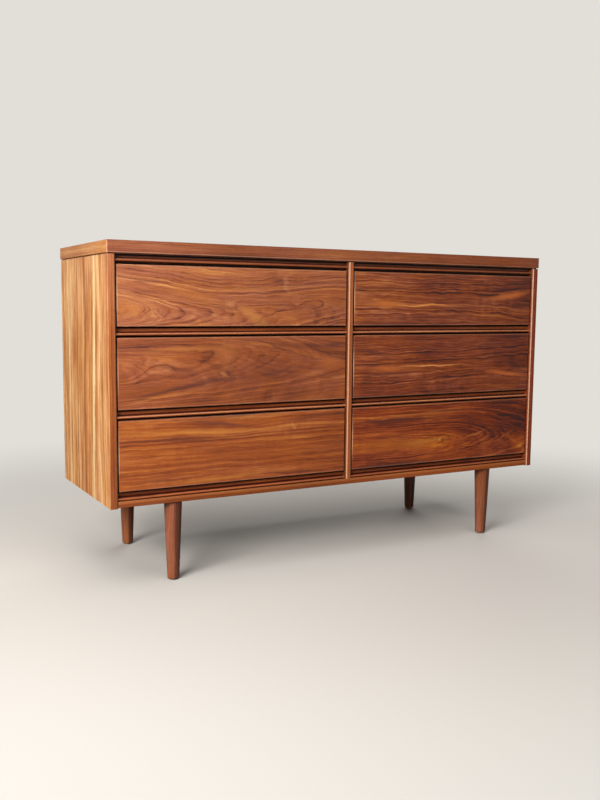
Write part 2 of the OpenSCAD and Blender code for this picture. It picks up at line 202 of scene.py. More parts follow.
def makeWood(name, wood):
    # Growth rings are shells round a wandering pith, cut by the board's faces, so a flat-sawn face shows
    # arches and a quarter-sawn one straight stripes. Everything is worked out in millimetres.
    material = newMaterial(name)
    tree = material.node_tree
    texture = addNode(tree, "TexCoord")
    board = addNode(tree, "Mapping", {}, {
        "Vector": texture.outputs["Object"],
        "Location": wood.get("centre", (0, 0, 0)),
        "Rotation": [radians(a) for a in grainTurns[wood["grain"]]],
        "Scale": (1000, 1000, 1000)})
    if "face" in wood:           # 1 on the face that looks this way, 0 on the edges round it
        towards = addNode(tree, "VectorMath", {"operation": "DOT_PRODUCT"},
                          {0: texture.outputs["Normal"], 1: wood["face"]}).outputs["Value"]
        facing = addNode(tree, "MapRange", {"interpolation_type": "SMOOTHSTEP"},
                         {0: towards, 1: wood["rim"], 2: wood["rim"] + 0.3})
    if "bandGrain" in wood:      # an end closed with an edge band, whose grain runs along the end
        band = addNode(tree, "Mapping", {}, {
            "Vector": texture.outputs["Object"],
            "Rotation": [radians(a) for a in grainTurns[wood["bandGrain"]]],
            "Scale": (1000, 1000, 1000)})
        board = addNode(tree, "Mix", {"data_type": "VECTOR"}, {0: facing, 4: board, 5: band}).outputs[1]
    parts = addNode(tree, "SeparateXYZ", {}, {0: board})
    # the seed says which part of the noise the board is cut from
    seeded = addNode(tree, "VectorMath", {"operation": "ADD"},
                     {0: board, 1: (wood["seed"] * 1931.7, wood["seed"] * 713.3, wood["seed"] * 377.1)})

    def drift(length, width, depth, octaves=2.0):
        # noise that is stretched to the given millimetres along, across and into the board
        scaled = addNode(tree, "VectorMath", {"operation": "MULTIPLY"},
                         {0: seeded, 1: (1 / length, 1 / width, 1 / depth)})
        return addNode(tree, "TexNoise", {}, {"Vector": scaled, "Scale": 1.0, "Detail": octaves})

    def added(value, weight, total):
        # total + weight * (value - 0.5)
        start = addNode(tree, "Math", {"operation": "SUBTRACT"}, {0: total, 1: weight / 2})
        return addNode(tree, "Math", {"operation": "MULTIPLY_ADD"}, {0: value, 1: weight, 2: start})

    # the board's own millimetres bent a little, so that no knot or streak is a plain ellipse
    wobble = addNode(tree, "VectorMath", {"operation": "SUBTRACT"},
                     {0: drift(60, 26, 60).outputs["Color"], 1: (0.5, 0.5, 0.5)})
    bent = addNode(tree, "VectorMath", {"operation": "MULTIPLY_ADD"}, {0: wobble, 1: (50, 14, 0), 2: board})

    def near(spot, most):
        # most at the middle of a spot, nothing at its rim; one with only two numbers goes right through the
        # board, and a straight one isn't bent
        offset = addNode(tree, "Mapping", {"vector_type": "TEXTURE"}, {
            "Vector": board if "straight" in spot else bent, "Location": (*spot["at"], 0)[:3],
            "Rotation": (0, 0, radians(spot.get("lean", 0))), "Scale": (*spot["half"], endless)[:3]})
        away = addNode(tree, "VectorMath", {"operation": "LENGTH"}, {0: offset}).outputs["Value"]
        return addNode(tree, "MapRange", {"interpolation_type": "SMOOTHSTEP"}, {0: away, 3: most, 4: 0.0})

    # cross-grain curl: soft bars across the board that catch the light, in patches
    patch = addNode(tree, "MapRange", {"interpolation_type": "SMOOTHSTEP"},
                    {0: drift(130, 60, 60), 1: 0.42, 2: 0.66})
    curl = addNode(tree, "Math", {"operation": "SUBTRACT"}, {0: drift(17, 48, 60, 1.0), 1: 0.5})
    curl = addNode(tree, "Math", {"operation": "MULTIPLY"}, {0: curl, 1: patch})

    # where the pith lies for this spot of the board
    sway = added(drift(*wood["swayLength"]), wood["sway"], parts.outputs[1])
    across = addNode(tree, "Math", {"operation": "SUBTRACT"}, {0: sway, 1: wood["pith"][0]})
    sink = addNode(tree, "Math", {"operation": "MULTIPLY_ADD"},
                   {0: parts.outputs[0], 1: wood["taper"], 2: parts.outputs[2]})
    deep = addNode(tree, "Math", {"operation": "ADD"},
                   {0: added(drift(*wood["diveLength"]), wood["dive"], sink), 1: wood["pith"][1]})
    section = addNode(tree, "CombineXYZ", {}, {0: across, 1: deep})
    ring = addNode(tree, "VectorMath", {"operation": "LENGTH"}, {0: section}).outputs["Value"]
    ring = addNode(tree, "Math", {"operation": "MULTIPLY_ADD"}, {0: curl, 1: wood["kink"], 2: ring})
    ring = added(drift(46, 60, 60), wood["wave"], added(drift(120, 34, 60), wood["wave"] * 2, ring))
    for swell in wood.get("swells", []):     # the trunk bulges round a branch or a knot
        ring = addNode(tree, "Math", {"operation": "ADD"}, {0: ring, 1: near(swell, swell["push"])})

    def ringNoise(width, octaves):
        turns = addNode(tree, "Math", {"operation": "DIVIDE"}, {0: ring, 1: width})
        return addNode(tree, "TexNoise", {"noise_dimensions": "1D"},
                       {"W": turns, "Scale": 1.0, "Detail": octaves})

    # thin dark latewood line at the end of each year: uneven in spacing, fading in and out
    year = addNode(tree, "Math", {"operation": "DIVIDE"}, {0: ring, 1: wood["ringWidth"]})
    year = added(ringNoise(wood["ringWidth"] * 2.5, 1.0), 3.0, year)
    fraction = addNode(tree, "Math", {"operation": "FRACT"}, {0: year})
    late = addNode(tree, "MapRange", {"interpolation_type": "SMOOTHERSTEP"},
                   {0: fraction, 1: 0.45, 2: 0.93})
    ended = addNode(tree, "MapRange", {"interpolation_type": "SMOOTHSTEP"},
                    {0: fraction, 1: 0.94, 2: 1.0, 3: 1.0, 4: 0.0})
    late = addNode(tree, "Math", {"operation": "MULTIPLY"}, {0: late, 1: ended})
    vigour = addNode(tree, "TexWhiteNoise", {"noise_dimensions": "1D"},
                     {"W": addNode(tree, "Math", {"operation": "FLOOR"}, {0: year})})
    faded = added(drift(75, 14, 60), 2.4, vigour)
    late = addNode(tree, "Math", {"operation": "MULTIPLY"},
                   {0: late, 1: addNode(tree, "Math", {"operation": "MAXIMUM"}, {0: faded, 1: 0.0})})

    # colour streaks keep near the rings; fibres and pores run along the board
    besideRing = addNode(tree, "Math", {"operation": "MULTIPLY_ADD"}, {0: across, 1: 0.6, 2: ring})
    veins = addNode(tree, "CombineXYZ", {}, {0: parts.outputs[0], 1: besideRing, 2: parts.outputs[2]})
    fibres = addNode(tree, "CombineXYZ", {}, {0: parts.outputs[0], 1: across, 2: parts.outputs[2]})

    def streak(flow, size, octaves):
        # noise that follows the flow in dashes of the given length and width
        length, width = size
        scaled = addNode(tree, "VectorMath", {"operation": "MULTIPLY"},
                         {0: flow, 1: (1 / length, 1 / width, 1 / width)})
        return addNode(tree, "TexNoise", {}, {"Vector": scaled, "Scale": 1.0, "Detail": octaves})

    # tone is 0.5 in the plain wood, lower where it is dark and higher where it is pale
    tone = added(ringNoise(wood["ringWidth"], 4.0), wood["rings"], 0.5)
    tone = added(ringNoise(wood["ringWidth"] * 5, 1.0), wood["bands"], tone)
    tone = added(streak(veins, wood["streakSize"], 3.0), wood["streaks"], tone)
    tone = added(streak(veins, wood["sweepSize"], 2.0), wood["sweeps"], tone)
    tone = added(drift(*wood["cloudSize"]), wood["clouds"], tone)
    tone = added(streak(fibres, wood["fibreSize"], 2.0), wood["fibres"], tone)
    tone = addNode(tree, "Math", {"operation": "MULTIPLY_ADD"}, {0: curl, 1: wood["figure"], 2: tone})
    tone = addNode(tree, "Math", {"operation": "MULTIPLY_ADD"}, {0: late, 1: -wood["lateDark"], 2: tone})
    for spot in wood.get("shades", []):      # parts of the board that are lighter or darker as a whole
        tone = addNode(tree, "Math", {"operation": "ADD"}, {0: tone, 1: near(spot, spot["push"])})
    ramp = addNode(tree, "ValToRGB", {}, {0: tone})
    setRamp(ramp, wood["tones"])
    colour = ramp
    if "faceTones" in wood:      # the face named by "face" is paler or browner than the edges
        faceRamp = addNode(tree, "ValToRGB", {}, {0: tone})
        setRamp(faceRamp, wood["faceTones"])
        colour = addNode(tree, "Mix", {"data_type": "RGBA"}, {0: facing, 6: ramp, 7: faceRamp}).outputs[2]

    # heartwood is rosy in some places and golden in others
    golden = added(streak(veins, (110, 6), 2.0), 1.5, added(drift(210, 48, 80), 1.6, 0.5))
    golden = addNode(tree, "MapRange", {"interpolation_type": "SMOOTHSTEP"}, {0: golden, 1: 0.2, 2: 0.8})
    cast = addNode(tree, "Mix", {"data_type": "RGBA"},
                   {0: golden, 6: linear(wood["casts"][0]), 7: linear(wood["casts"][1])}).outputs[2]
    colour = addNode(tree, "Mix", {"data_type": "RGBA", "blend_type": "SOFT_LIGHT"},
                     {0: 1.0, 6: colour, 7: cast}).outputs[2]

    # streaks and patches of another colour
    for spot in wood.get("patches", []):
        colour = addNode(tree, "Mix", {"data_type": "RGBA"},
                         {0: near(spot, spot["strength"]), 6: colour, 7: linear(spot["colour"])}).outputs[2]

    # open pores: short dark dashes along the grain
    pores = addNode(tree, "MapRange", {"interpolation_type": "SMOOTHSTEP"},
                    {0: streak(fibres, wood["poreSize"], 0.0), 1: 0.60, 2: 0.74})
    poreDark = addNode(tree, "Math", {"operation": "MULTIPLY"}, {0: pores, 1: wood["pores"]})
    colour = addNode(tree, "Mix", {"data_type": "RGBA"},
                     {0: poreDark, 6: colour, 7: linear(wood["poreColour"])}).outputs[2]

    # dark wood and pores lie a trace deeper and take the varnish less smoothly
    rough = addNode(tree, "MapRange", {},
                    {0: tone, 1: 0.2, 2: 0.8, 3: wood["rough"][0], 4: wood["rough"][1]})
    height = addNode(tree, "Math", {"operation": "MULTIPLY_ADD"}, {0: pores, 1: -0.6, 2: tone})
    bump = addNode(tree, "Bump", {}, {"Height": height, "Strength": 0.25, "Distance": 0.0002})
    surface = addNode(tree, "BsdfPrincipled", {}, {
        "Base Color": colour, "Roughness": rough, "Normal": bump, "IOR": 1.45,     # varnish or bare wood
        "Specular IOR Level": wood["specular"]})
    addNode(tree, "OutputMaterial", {}, {0: surface})
    return material


def edgeLine(at, half, strength, colour):
    # a straight mark along a board, mostly a painted highlight along a roll or painted shade in a groove or
    # gap
    return {"at": at, "half": half, "straight": True, "strength": strength, "colour": colour}


def steeper(tones, factor):
    # the same colours with less room between them, which gives the figure more contrast
    return [(0.5 + (place - 0.5) / factor, colour) for place, colour in tones]


walnut = {
    "grain": "x on front", "seed": 1,               # how the board is turned, and which board it is
    "pith": (0, 60), "taper": 0.0,                  # mm across and behind the board; slope along it
    "sway": 22, "swayLength": (420, 200, 400),      # mm that the pith wanders across the board, and over what
    "dive": 12, "diveLength": (520, 260, 300),      # mm that it wanders into the board, and over what
    "ringWidth": 7.5, "wave": 4.5, "kink": 2,       # mm of a ring, of its slow waves and of its kinks at curl
    "rings": 0.42, "bands": 0.20, "lateDark": 0.30,     # shares in the tone: rings, groups of them, latewood
    "streaks": 0.46, "streakSize": (85, 2.8),       # share in the tone, and mm along and across the grain
    "sweeps": 0.62, "sweepSize": (230, 17),
    "clouds": 0.42, "cloudSize": (170, 55, 90),
    "fibres": 0.50, "fibreSize": (38, 1.4),         # real fibres are finer: these are the finest that show
    "figure": 0.26,                                 # share of the cross-grain curl
    "pores": 0.30, "poreSize": (9, 0.55), "poreColour": "#2c1208",
    "casts": ("#bbbcc5", "#bebba2"),                # rosy and golden heartwood
    "rough": (0.46, 0.38), "specular": 0.5, "rim": 0.55,
    "tones": [(0.08, "#4e220e"), (0.28, "#75350f"), (0.39, "#803e1a"), (0.50, "#8c4822"), (0.61, "#985127"),
              (0.74, "#a65c30"), (0.95, "#c07a48")],
}

# walnut veneer, flat-sawn, sanded and finished in satin varnish: warm sheen over deep brown figure.
# Every swell, shade and patch stands at so many mm right of and above the middle of its front, and half is
# half its length and height; lean is in degrees, and push is mm of ring or a share of the tone.
# The shades make every front paler towards its left end and darker towards its right: partly the veneer's own
# colour and partly painted light falling away from the window on the left.
drawerWood = {
    "upper_left": {
        "seed": 3, "pith": (-31, 26), "taper": 0.05, "sweeps": 0.46, "lateDark": 0.34, "shadow": 2.2,
        "steep": 1.18, "ringWidth": 5.5, "rings": 0.5, "streaks": 0.52,
        "tones": ["#54261a", "#8a4522", "#944d28", "#a0582f", "#ab6338", "#bc743e", "#d59657"],
        "swells": [
            {"at": (-410, -32), "half": (250, 78), "push": -46},
            {"at": (-15, 20), "half": (330, 120), "push": 30},
            {"at": (330, -62), "half": (330, 82), "push": 30},
            {"at": (-17, -20), "half": (34, 26), "push": 6},
            {"at": (209, -30), "half": (60, 34), "push": -4}],
        "shades": [
            {"at": (-340, 10), "half": (330, 140), "push": 0.16},
            {"at": (250, -30), "half": (220, 60), "push": -0.10}],
        "patches": [
            {"at": (40, -50), "half": (76, 20), "lean": -30, "strength": 0.45, "colour": "#cd8a45"},
            {"at": (-285, -30), "half": (80, 24), "strength": 0.5, "colour": "#c67a40"},
            {"at": (-110, -1), "half": (130, 15), "lean": -14, "strength": 0.5, "colour": "#bf7439"},
            {"at": (60, 22), "half": (250, 9), "lean": 2, "strength": 0.4, "colour": "#c47b45"},
            {"at": (112, 42), "half": (26, 18), "strength": 0.65, "colour": "#673124"},
            {"at": (134, 36), "half": (9, 44), "strength": 0.32, "colour": "#c8885a"},
            {"at": (260, 40), "half": (130, 5), "lean": 2, "strength": 0.5, "colour": "#6b3226"},
            {"at": (170, -22), "half": (90, 6), "lean": 8, "strength": 0.25, "colour": "#6d3426"},
            {"at": (-265, 38), "half": (120, 5), "lean": -7, "strength": 0.5, "colour": "#65301f"},
            {"at": (-20, -17), "half": (14, 11), "strength": 0.5, "colour": "#cd8a55"},
            {"at": (-5, -27), "half": (9, 15), "lean": 20, "strength": 0.55, "colour": "#67301e"}]},
    "middle_left": {
        "seed": 5, "pith": (14, 48), "taper": 0.11, "lateDark": 0.27, "ringWidth": 6, "rings": 0.48,
        "streaks": 0.52,
        "tones": ["#452018", "#7a3816", "#84401d", "#8e4823", "#9a5029", "#ac6133", "#c58450"],
        "swells": [
            {"at": (-20, 74), "half": (310, 84), "push": -22},
            {"at": (-220, 8), "half": (90, 40), "push": 8},
            {"at": (360, 0), "half": (170, 90), "push": -9},
            {"at": (-31, -12), "half": (26, 20), "push": 6}],
        "shades": [
            {"at": (-330, 10), "half": (260, 110), "push": 0.08},
            {"at": (110, -5), "half": (190, 50), "push": -0.08}],
        "patches": [
            {"at": (-165, -40), "half": (190, 8), "lean": 10, "strength": 0.8, "colour": "#4f251c"},
            {"at": (-50, -22), "half": (110, 7), "lean": 2, "strength": 0.6, "colour": "#552920"},
            {"at": (110, -6), "half": (70, 6), "lean": 16, "strength": 0.55, "colour": "#582a20"},
            {"at": (-205, -58), "half": (150, 5), "lean": 8, "strength": 0.6, "colour": "#bb7035"},
            {"at": (-150, 56), "half": (190, 10), "lean": 2, "strength": 0.55, "colour": "#b97036"},
            {"at": (60, 64), "half": (90, 8), "lean": -6, "strength": 0.55, "colour": "#bd7238"},
            {"at": (110, 56), "half": (120, 5), "lean": -19, "strength": 0.6, "colour": "#522720"},
            {"at": (190, 60), "half": (170, 11), "lean": -3, "strength": 0.5, "colour": "#5c2c20"},
            {"at": (-34, 40), "half": (38, 44), "strength": 0.45, "colour": "#b86d38"},
            {"at": (-175, 10), "half": (60, 9), "lean": -12, "strength": 0.5, "colour": "#58291b"},
            {"at": (270, 18), "half": (56, 22), "strength": 0.6, "colour": "#b4632f"},
            {"at": (272, 61), "half": (40, 8), "strength": 0.6, "colour": "#4c2420"},
            {"at": (-35, -7), "half": (20, 7), "lean": -42, "strength": 0.4, "colour": "#cc8a50"},
            {"at": (-24, -8), "half": (20, 5), "lean": -52, "strength": 0.6, "colour": "#4e2418"}]},
    "lower_left": {
        "seed": 8, "pith": (-230, 60), "sway": 16, "rings": 0.62, "streaks": 0.46, "sweeps": 0.55,
        "gap": 2.4,
        "tones": ["#4b1d12", "#80380e", "#8d4114", "#994b1c", "#a65624", "#b96a2b", "#d18d45"],
        "swells": [
            {"at": (-15, 66), "half": (190, 60), "push": 14},
            {"at": (-10, -78), "half": (200, 40), "push": -6}],
        "shades": [
            {"at": (-330, -30), "half": (330, 130), "push": 0.08},
            {"at": (330, -10), "half": (200, 130), "push": -0.08}],
        "patches": [
            {"at": (-120, 47), "half": (280, 12), "lean": -2, "strength": 0.7, "colour": "#c87f35"},
            {"at": (110, 46), "half": (130, 8), "lean": 5, "strength": 0.5, "colour": "#bd7433"},
            {"at": (-50, 64), "half": (160, 9), "lean": -7, "strength": 0.75, "colour": "#5f2e22"},
            {"at": (-190, 31), "half": (240, 6), "lean": -1, "strength": 0.7, "colour": "#5f2a1c"},
            {"at": (40, 77), "half": (150, 7), "strength": 0.6, "colour": "#c17c40"},
            {"at": (220, 68), "half": (120, 9), "lean": 3, "strength": 0.55, "colour": "#602d20"},
            {"at": (240, 36), "half": (130, 5), "lean": 3, "strength": 0.6, "colour": "#5c291c"},
            {"at": (-60, -73), "half": (200, 8), "lean": 2, "strength": 0.6, "colour": "#c27a34"},
            {"at": (-200, -66), "half": (150, 5), "lean": 1, "strength": 0.6, "colour": "#5a281c"},
            {"at": (180, -76), "half": (180, 6), "lean": -3, "strength": 0.6, "colour": "#54261e"},
            {"at": (159, 48), "half": (10, 16), "strength": 0.5, "colour": "#c8844c"}]},
    "upper_right": {
        "seed": 11, "pith": (-210, 75), "taper": 0.03, "sway": 18, "wave": 7.5, "figure": 0.34, "shadow": 2.2,
        "rings": 0.5, "streaks": 0.5, "sweeps": 0.42, "clouds": 0.42, "lateDark": 0.38, "ringWidth": 5.5,
        "streakSize": (60, 2.8), "steep": 1.2, "fibres": 0.75, "casts": ("#babfe8", "#c3c0a8"),
        "tones": ["#381510", "#6f2b0c", "#7a3515", "#86401f", "#944c27", "#aa5d2e", "#c48048"],
        "swells": [
            {"at": (340, 30), "half": (190, 46), "push": -13},
            {"at": (340, -46), "half": (190, 40), "push": 12}],
        "shades": [
            {"at": (-340, 10), "half": (330, 140), "push": 0.12},
            {"at": (340, 30), "half": (260, 120), "push": -0.22}],
        "patches": [
            {"at": (-190, -17), "half": (140, 10), "strength": 0.65, "colour": "#b7672b"},
            {"at": (-20, -17), "half": (180, 7), "strength": 0.6, "colour": "#b9682f"},
            {"at": (-85, -17), "half": (150, 3.6), "lean": 1, "strength": 1.0, "colour": "#e6934a"},
            {"at": (-205, -14), "half": (62, 18), "strength": 0.75, "colour": "#c06a2c"},
            {"at": (-20, -10), "half": (60, 4), "lean": 2, "strength": 0.6, "colour": "#471c12"},
            {"at": (-200, -68), "half": (170, 5), "strength": 0.5, "colour": "#43201c"},
            {"at": (-210, 28), "half": (170, 5), "lean": 1, "strength": 0.5, "colour": "#4c2216"},
            {"at": (224, 14), "half": (122, 12), "lean": 9, "strength": 0.9, "colour": "#c96c32"},
            {"at": (262, -14), "half": (44, 17), "strength": 0.5, "colour": "#3f1b14"}]},
    "middle_right": {
        "seed": 12, "pith": (-215, 75), "taper": -0.03, "sway": 18, "wave": 7.5, "figure": 0.34,
        "rings": 0.5, "streaks": 0.5, "sweeps": 0.42, "clouds": 0.42, "lateDark": 0.38, "ringWidth": 5.5,
        "streakSize": (60, 2.8), "steep": 1.2, "fibres": 0.75, "casts": ("#babee8", "#c3c0a8"),
        "tones": ["#341310", "#692605", "#732f10", "#7e391b", "#8b4320", "#a35429", "#bf783e"],
        "swells": [
            {"at": (340, 40), "half": (190, 46), "push": -10},
            {"at": (340, -46), "half": (190, 46), "push": 15}],
        "shades": [
            {"at": (-340, 20), "half": (330, 140), "push": 0.12},
            {"at": (340, 30), "half": (240, 110), "push": -0.14}],
        "patches": [
            {"at": (-180, -8), "half": (160, 10), "strength": 0.65, "colour": "#b2602a"},
            {"at": (-30, -1), "half": (170, 6), "lean": -1, "strength": 0.55, "colour": "#b05e2a"},
            {"at": (-45, -3), "half": (160, 3.8), "strength": 1.0, "colour": "#e2904c"},
            {"at": (-195, -7), "half": (62, 18), "strength": 0.7, "colour": "#bc6429"},
            {"at": (-215, -24), "half": (110, 6), "lean": 3, "strength": 0.6, "colour": "#42201a"},
            {"at": (222, -33), "half": (122, 12), "lean": -8, "strength": 0.9, "colour": "#c4662f"},
            {"at": (-260, 38), "half": (90, 7), "lean": -6, "strength": 0.7, "colour": "#45211c"},
            {"at": (-60, 32), "half": (130, 5), "lean": -1, "strength": 0.5, "colour": "#4a2018"},
            {"at": (-285, 26), "half": (50, 7), "lean": -12, "strength": 0.6, "colour": "#ab5e2a"},
            {"at": (256, -8), "half": (46, 15), "lean": -20, "strength": 0.7, "colour": "#371713"}]},
    "lower_right": {
        "seed": 17, "pith": (-18, 8), "taper": 0.02, "wave": 3.5, "gap": 2.4, "ringWidth": 5.5, "bands": 0.14,
        "lateDark": 0.34, "steep": 1.14, "rings": 0.5, "streaks": 0.55, "sweeps": 0.55, "fibres": 0.7,
        "casts": ("#babad8", "#c3bd94"),
        "tones": ["#361210", "#6c2505", "#782e0b", "#893911", "#994619", "#ae571c", "#c97c30"],
        "swells": [
            {"at": (430, -18), "half": (450, 130), "push": 52},
            {"at": (-16, -22), "half": (28, 18), "push": 4}],
        "shades": [
            {"at": (-200, -25), "half": (330, 60), "push": 0.10},
            {"at": (280, 35), "half": (250, 110), "push": -0.26}],
        "patches": [
            {"at": (-180, -25), "half": (270, 30), "strength": 0.5, "colour": "#b0601c"},
            {"at": (-60, -23), "half": (130, 12), "lean": 4, "strength": 0.6, "colour": "#c67a2c"},
            {"at": (-13, -20), "half": (14, 9), "strength": 0.65, "colour": "#d8933f"},
            {"at": (-2, -26), "half": (8, 16), "lean": 20, "strength": 0.5, "colour": "#5a2410"},
            {"at": (-80, 57), "half": (190, 5), "lean": 2, "strength": 0.6, "colour": "#a9622f"},
            {"at": (-170, 43), "half": (230, 9), "lean": 1, "strength": 0.8, "colour": "#41201c"},
            {"at": (-180, -80), "half": (200, 8), "strength": 0.7, "colour": "#3b1c1a"},
            {"at": (118, -14), "half": (66, 5), "lean": 14, "strength": 0.7, "colour": "#c4702f"},
            {"at": (232, -26), "half": (60, 5), "lean": 26, "strength": 0.55, "colour": "#b3622a"},
            {"at": (165, -8), "half": (60, 9), "strength": 0.55, "colour": "#441a12"}]},
}
# the seven colours of a front lie at these places of its tone
frontStops = (0.08, 0.28, 0.39, 0.50, 0.61, 0.74, 0.95)
# painted shade: the faces that turn away from the front, into the gaps and grooves beside it, are painted
# darker than the front
shadedEdgeTones = [(0.10, "#3a1c10"), (0.40, "#552b18"), (0.60, "#653721"), (0.90, "#7d492c")]
frontWood = {
    **walnut, "face": (0, -1, 0), "rim": 0.65, "specular": 0.7, "steep": 1, "casts": ("#bbc1de", "#c0c1b4"),
    "gap": 1.1, "shadow": 1.1,          # mm, half the painted shade along the bottom and along the top
    "rollShade": "#241008", "rollHighlight": "#e3b492",
}
for key, change in drawerWood.items():
    front = f"{key}_drawer_front"
    low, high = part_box(front)
    middle = (low + high) * 500         # mm
    wide, thick, tall = (high - low) * 500
    wood = {**frontWood, **change, "centre": (-middle.x, -middle.z, middle.y)}
    wood["faceTones"] = steeper(zip(frontStops, wood["tones"]), wood["steep"])
    wood["tones"] = shadedEdgeTones
    # eased edges: painted shade where they roll into the gaps, a painted highlight just inside, and a painted
    # highlight down the window's side
    rolls = [edgeLine((0, place, thick), (endless, half, 3), strength, colour)
             for place, half, strength, colour in (
                 (-tall, wood["gap"], 0.9, wood["rollShade"]), (tall, wood["shadow"], 0.9, wood["rollShade"]),
                 (-tall + 2.6, 2.0, 0.16, wood["rollHighlight"]), (tall - 2.6, 2.0, 0.16, wood["rollHighlight"]))]
    rolls.append(edgeLine((-wide + 0.8, 0, thick), (2.0, tall - 4, 3), 0.6, wood["rollHighlight"]))
    wood["patches"] = wood["patches"] + rolls
    paint(front, makeWood(f"walnutVarnished_{key}", wood))

frontY = cadLow.y * 1000        # mm, the front of the top and of all below it
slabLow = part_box("top_slab")[0].z * 1000
deepShade = "#120401"           # painted shade: near black, for grooves and gaps where no light gets in

# solid walnut, planed and rubbed smooth: broad calm figure under the glossiest varnish of the piece
topWood = {
    **walnut, "grain": "x on top", "seed": 21, "pith": (40, 160), "figure": 0.06, "kink": 0,
    "rings": 0.55, "streaks": 0.6, "sweeps": 0.4, "wave": 1, "sway": 8, "dive": 4, "lateDark": 0.26,
    "rough": (0.28, 0.22), "face": (-1, 0, 0), "bandGrain": "y on side",
    "tones": [(0.08, "#5a2a17"), (0.30, "#7f442a"), (0.50, "#905135"), (0.70, "#a1603f"), (0.95, "#b87650")],
    "faceTones": [(0.12, "#945627"), (0.36, "#b06d36"), (0.54, "#c17e40"), (0.82, "#d69c62")],
    "patches": [        # painted highlights on two arrises, redder wood and two orange streaks on the right, painted shade in the shadow line below
        edgeLine((cadLow.x * 1000, frontY, slabLow + 16), (3.5, 3.5, endless), 0.7, "#e8b593"),
        edgeLine((0, frontY, slabLow + 4.5), (endless, 3, 1.8), 0.4, "#d8a488"),
        {"at": (560, frontY - 2, slabLow + 18), "half": (520, 9, endless), "strength": 0.35,
         "colour": "#8c3a14"},
        {"at": (330, frontY, slabLow + 23), "half": (250, 9, 1.8), "strength": 0.5, "colour": "#b8622c"},
        {"at": (420, frontY, slabLow + 12), "half": (200, 9, 1.4), "strength": 0.5, "colour": "#b8622c"},
        edgeLine((0, 0, slabLow), (endless, endless, 2.3), 0.95, deepShade)]}
paint("top_slab", makeWood("walnutVarnishedTop", topWood))

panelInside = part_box("right_side_panel")[0].x * 1000        # mm from the middle, the same on both sides
# walnut veneer, quarter-sawn, in satin varnish: straight upright stripes, sapwood among them almost cream
panelWood = {
    **walnut, "grain": "z on side", "seed": 31, "pith": (-330, 60), "sway": 20, "dive": 16, "figure": 0.05,
    "ringWidth": 7, "rings": 0.7, "bands": 0.45, "streakSize": (190, 2.8), "streaks": 0.7, "sweeps": 0.5,
    "wave": 0.8, "lateDark": 0.2,
    "face": (-1, 0, 0), "casts": ("#bbbcc4", "#bdbbb0"),
    "rough": (0.38, 0.30),
    "tones": [(0.10, "#5c2a16"), (0.30, "#86431f"), (0.50, "#9b5228"), (0.70, "#ae6437"), (0.95, "#c7824e")],
    # the outer face is painted paler than the right-hand panel's: painted light from the window on the left
    "faceTones": steeper([(0.12, "#8e5023"), (0.30, "#b06a34"), (0.40, "#c27d45"), (0.50, "#d19056"),
                          (0.60, "#dfa46a"), (0.70, "#ebb97e"), (0.90, "#f4d29a")], 1.3),
    "patches": [        # mm up, mm back: sapwood stripes with browner bands by them; then on the front edge a painted highlight along its roll, and the edge darker towards the bottom and paler near the top
        {"at": (500, -87), "half": (620, 13), "lean": -3, "strength": 1.0, "colour": "#f8e2aa"},
        {"at": (500, -108), "half": (520, 7), "lean": -3, "strength": 0.5, "colour": "#b97a4a"},
        {"at": (500, -63), "half": (520, 8), "lean": -3, "strength": 0.5, "colour": "#b5743f"},
        {"at": (480, 134), "half": (520, 8), "lean": -3, "strength": 0.75, "colour": "#eec492"},
        {"at": (500, 155), "half": (520, 8), "lean": -3, "strength": 0.5, "colour": "#a66a3e"},
        {"at": (500, -175), "half": (520, 22), "lean": -3, "strength": 0.3, "colour": "#dfa36c"},
        {"at": (500, 60), "half": (520, 12), "lean": -3, "strength": 0.4, "colour": "#b07040"},
        edgeLine((500, frontY, panelInside + 4.5), (endless, 12, 3.5), 0.4, "#c8804f"),
        edgeLine((240, frontY, 0), (400, 7, endless), 0.45, "#6c3014"),
        edgeLine((790, frontY, 0), (220, 7, endless), 0.3, "#cc8c60")]}
paint("left_side_panel", makeWood("walnutVarnishedPanel", panelWood))
# the right-hand panel has no sapwood stripes and stays browner: the left one's outer face is painted paler
# for the window light on it
panelRight = {
    **panelWood, "seed": 37, "face": (1, 0, 0), "streaks": 0.45, "casts": walnut["casts"],
    "faceTones": [(0.12, "#703c20"), (0.30, "#8e522d"), (0.40, "#9c5e36"), (0.50, "#a96a3f"),
                  (0.60, "#b6784b"), (0.70, "#c48959"), (0.90, "#d8a674")],
    "tones": [(0.10, "#501c0c"), (0.30, "#763116"), (0.50, "#873a1c"), (0.70, "#974624"), (0.95, "#b05f36")],
    # a painted highlight down the rounded inner arris of the front edge
    "patches": [edgeLine((500, frontY, -panelInside - 2.7), (endless, 12, 2.1), 0.9, "#f0c4a6")]}
paint("right_side_panel", makeWood("walnutVarnishedPanelRight", panelRight))

# solid walnut, rounded over by hand: a strip with a painted highlight down its roll along its whole length,
# and painted shade at its left arris
stileWood = {
    **walnut, "grain": "z on front", "seed": 41, "pith": (10, 120), "sway": 8, "dive": 8, "kink": 0,
    "figure": 0.05, "rings": 0.35, "streaks": 0.3, "sweeps": 0.3, "lateDark": 0.15, "rough": (0.21, 0.17),
    "tones": [(0.08, "#602c10"), (0.30, "#98522c"), (0.50, "#aa5c33"), (0.70, "#b86a3e"), (0.95, "#cd8858")],
    "patches": [edgeLine((500, place), (endless, half), strength, colour)
                for place, half, strength, colour in (      # mm left of the middle, and half the width
                    # painted shade at the left arris by the gap, a painted highlight on the left-hand roll, a
                    # fainter painted highlight on the right-hand roll
                    (9.2, 3.4, 0.75, "#2c140c"), (5.0, 2.4, 0.8, "#f0c09c"), (-6.0, 4.0, 0.3, "#d09468"))]}
stile = makeWood("walnutVarnishedStile", stileWood)
paint("center_stile", stile)
paint("center_partition", stile)
